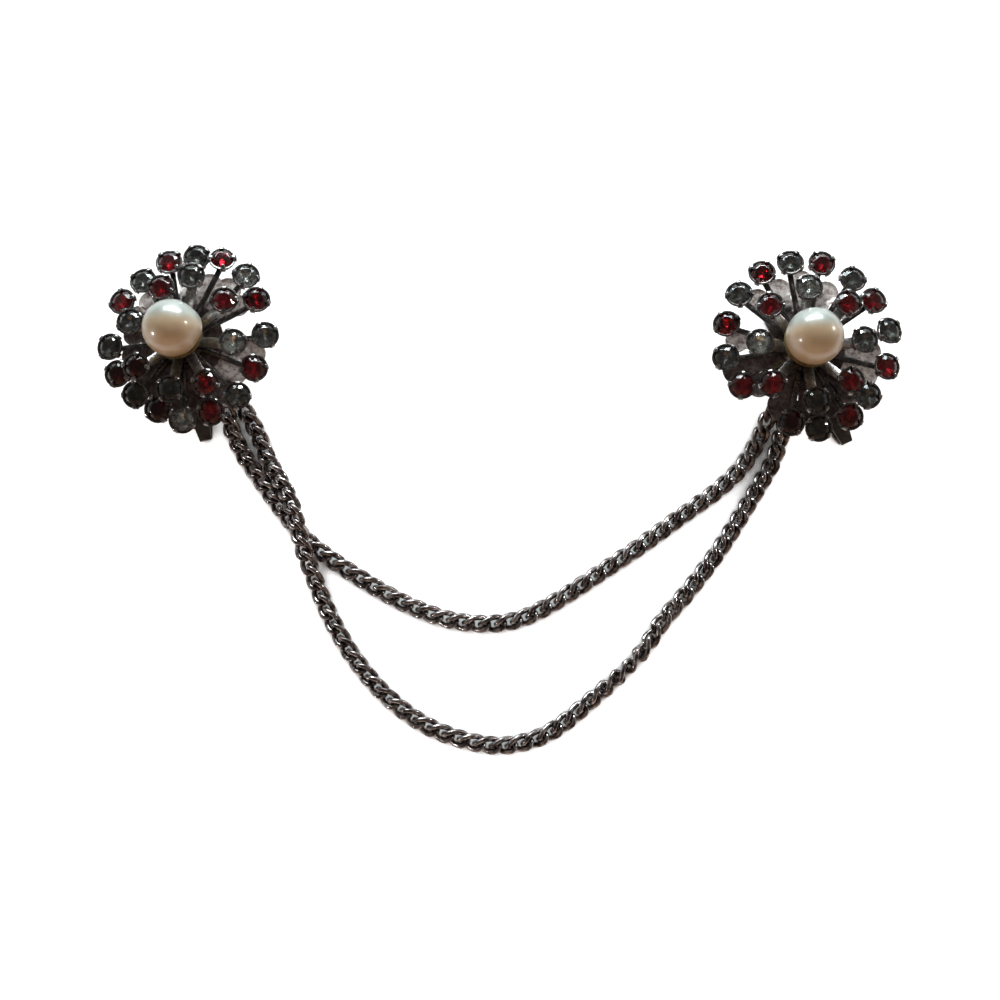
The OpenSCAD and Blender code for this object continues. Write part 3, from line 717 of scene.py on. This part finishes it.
link = start("torus", major_segments=24, minor_segments=10, major_radius=LINK_END_R * mm,
             minor_radius=LINK_WIRE / 2 * mm)
for end in (1, -1):
    choose(link, lambda p, n: end * p.x > 0.02, "VERT")
    bpy.ops.transform.translate(value=(end * LINK_STRETCH * mm, 0, 0))
for cut in LINK_CUTS:
    bpy.ops.mesh.select_all(action="SELECT")
    bpy.ops.mesh.bisect(plane_co=(cut * mm, 0, 0), plane_no=(1, 0, 0))
bpy.ops.object.mode_set(mode="OBJECT")
twist = link.modifiers.new("twist", "SIMPLE_DEFORM")
twist.deform_method = "TWIST"
twist.deform_axis = "X"
half = LINK_END_R + LINK_STRETCH
twist.angle = math.radians(2 * LINK_TWIST) * (half + LINK_WIRE / 2) / half
bpy.ops.object.modifier_apply(modifier="twist")
bpy.ops.object.shade_smooth()


def link_place(corners, climb):
    """A link's place: a CAD link's middle, raised at the crossing, and its axes, longest first."""
    _, axes = np.linalg.eigh(np.cov(corners.T))
    ahead, across = Vector(axes[:, 2]), Vector(axes[:, 1])
    if ahead.x < 0:
        ahead.negate()
    place = Matrix((ahead, across, ahead.cross(across))).transposed().to_4x4()
    middle = Vector(corners.mean(0))
    away = (middle.xy - CROSSING.xy).length / CLIMB_REACH
    place.translation = (middle + Vector((0, 0, LINK_LIFT + climb * math.exp(-away * away)))) * mm
    return place @ Matrix.Rotation(math.radians(LINK_ROLL), 4, "X")


# The near-black colour in the hollows between the links is partly tarnish, partly painted shade
chain_silver = plated_metal(
    "darkened chain silver", bright=(0.72, 0.65, 0.64), dark=(0.055, 0.039, 0.037),
    hollow_tarnish_and_shade=(0.014, 0.008, 0.007), patch=1.1, rubbed=0.5, rough=(0.1, 0.22), bump=0.015)
for strand in ("lower", "upper"):
    climb = CLIMB if strand == "lower" else 0
    links = [copy_of(link, link_place(corners, climb)) for corners in solids_of(f"{strand}_chain")]
    for wire in links:
        below = min(corner.co.z for corner in wire.data.vertices)
        wire.data.transform(Matrix.Translation((0, 0, max(-below, 0))))
    chain = join(links, f"{strand}_curb_chain")
    paint(chain, chain_silver)
    dress(chain, "chain_metal", f"{strand}_chain")
discard(link)


# The studio: a pale paper floor that glows to the camera, with painted shade only deep between the
# links, a cool window with a brighter core beyond the top of the picture, a warm fill from the near
# side, two small lamps that glint in the pearls, and a soft light overhead, all in a dim room.

FLOOR_SIZE = 1.6  # metres


def pale_paper():
    """Paper that glows to the camera, less to other rays, with painted shade deep between the links.
    """
    material = bpy.data.materials.new("pale paper")
    material.use_nodes = True
    nodes, link = material.node_tree.nodes, material.node_tree.links.new
    surface = nodes["Principled BSDF"]
    surface.inputs["Base Color"].default_value = (0.6, 0.6, 0.6, 1)
    surface.inputs["Roughness"].default_value = 0.9
    surface.inputs["Emission Strength"].default_value = 0.95
    # Ambient occlusion darkens the glow deep between the links: painted shade
    painted_shade_ao = nodes.new("ShaderNodeAmbientOcclusion")
    painted_shade_ao.samples = 12
    painted_shade_ao.inputs["Distance"].default_value = 3 * mm
    shade = nodes.new("ShaderNodeMapRange")
    shade.inputs["From Min"].default_value = 0.46
    shade.inputs["From Max"].default_value = 0.66
    link(painted_shade_ao.outputs["AO"], shade.inputs["Value"])
    seen = nodes.new("ShaderNodeLightPath")
    dimmed = nodes.new("ShaderNodeMapRange")
    dimmed.inputs["To Min"].default_value = 0.35
    link(seen.outputs["Is Camera Ray"], dimmed.inputs["Value"])
    glow = nodes.new("ShaderNodeMath")
    glow.operation = "MULTIPLY"
    link(shade.outputs[0], glow.inputs[0])
    link(dimmed.outputs[0], glow.inputs[1])
    link(glow.outputs[0], surface.inputs["Emission Color"])
    return material


floor = start("plane", size=FLOOR_SIZE)
bpy.ops.object.mode_set(mode="OBJECT")
floor.name = "floor"
paint(floor, pale_paper())


def soft_light(name, place, size, watts, colour, glossy=True):
    """An oblong lamp turned to the middle of the floor, unseen itself, shown in gloss or not."""
    lamp = bpy.data.lights.new(name, "AREA")
    lamp.shape = "RECTANGLE"
    lamp.size, lamp.size_y = size
    lamp.energy = watts
    lamp.color = colour
    light = bpy.data.objects.new(name, lamp)
    light.location = place
    light.rotation_euler = (Vector() - Vector(place)).to_track_quat("-Z", "Y").to_euler()
    light.visible_camera = False
    light.visible_glossy = glossy
    bpy.context.scene.collection.objects.link(light)


soft_light("window", (0.0, 0.42, 0.17), (0.42, 0.17), 2.3, (0.84, 0.97, 1.0))
soft_light("window core", (0.02, 0.42, 0.18), (0.2, 0.08), 1.4, (0.93, 0.99, 1.0))
soft_light("warm wall", (0.0, -0.5, 0.12), (0.7, 0.16), 0.8, (1.0, 0.6, 0.33), glossy=False)
soft_light("right lamp", (0.46, 0.17, 0.18), (0.03, 0.03), 0.45, (1.0, 0.97, 0.92))
soft_light("left lamp", (-0.48, -0.16, 0.14), (0.03, 0.03), 0.45, (1.0, 0.97, 0.92))
soft_light("overhead", (0.0, 0.05, 0.7), (0.8, 0.8), 1.0, (1, 1, 1), glossy=False)


def studio_world():
    """Dim room: dark overhead where the camera is, cool by the window, warm on the near side."""
    world = bpy.data.worlds.new("studio")
    world.use_nodes = True
    nodes, link = world.node_tree.nodes, world.node_tree.links.new
    ahead = nodes.new("ShaderNodeTexCoord")
    parts = nodes.new("ShaderNodeSeparateXYZ")
    link(ahead.outputs["Generated"], parts.inputs[0])
    side = nodes.new("ShaderNodeValToRGB")
    side.color_ramp.elements[0].color = (0.28, 0.18, 0.115, 1)
    side.color_ramp.elements[1].color = (0.4, 0.44, 0.44, 1)
    side.color_ramp.elements[0].position = 0.2
    side.color_ramp.elements[1].position = 0.8
    turned = nodes.new("ShaderNodeMapRange")
    turned.inputs["From Min"].default_value = -1
    link(parts.outputs["Y"], turned.inputs["Value"])
    link(turned.outputs[0], side.inputs["Fac"])
    up = nodes.new("ShaderNodeMapRange")
    up.inputs["From Min"].default_value = 0.35
    up.inputs["From Max"].default_value = 0.8
    link(parts.outputs["Z"], up.inputs["Value"])
    sky = nodes.new("ShaderNodeMix")
    sky.data_type = "RGBA"
    link(up.outputs[0], sky.inputs["Factor"])
    link(side.outputs["Color"], sky.inputs["A"])
    sky.inputs["B"].default_value = (0.07, 0.06, 0.055, 1)
    # Seen directly, the room is as pale as the floor
    seen = nodes.new("ShaderNodeLightPath")
    room = nodes.new("ShaderNodeMix")
    room.data_type = "RGBA"
    room.inputs["B"].default_value = (0.9, 0.9, 0.9, 1)
    link(seen.outputs["Is Camera Ray"], room.inputs["Factor"])
    link(sky.outputs["Result"], room.inputs["A"])
    link(room.outputs["Result"], nodes["Background"].inputs["Color"])
    return world


bpy.context.scene.world = studio_world()

# Camera over the table, tipped a little towards the near edge, as the photograph was taken
CAMERA_TILT = 80.5
CAMERA_AWAY = 230
VIEW_WIDTH = 175  # of the table, at that distance
SENSOR_WIDTH = 36
AIM = Vector((0, -1.4, 6))
back = Vector((0, -math.cos(math.radians(CAMERA_TILT)), math.sin(math.radians(CAMERA_TILT))))
lens = bpy.data.cameras.new("camera")
lens.sensor_width = SENSOR_WIDTH
lens.lens = SENSOR_WIDTH * CAMERA_AWAY / VIEW_WIDTH
lens.clip_start = 0.01
lens.clip_end = 10
camera = bpy.data.objects.new("camera", lens)
camera.location = (AIM + back * CAMERA_AWAY) * mm
camera.rotation_euler = (-back).to_track_quat("-Z", "Y").to_euler()
bpy.context.scene.collection.objects.link(camera)
bpy.context.scene.camera = camera
bpy.context.scene.view_settings.view_transform = "Standard"
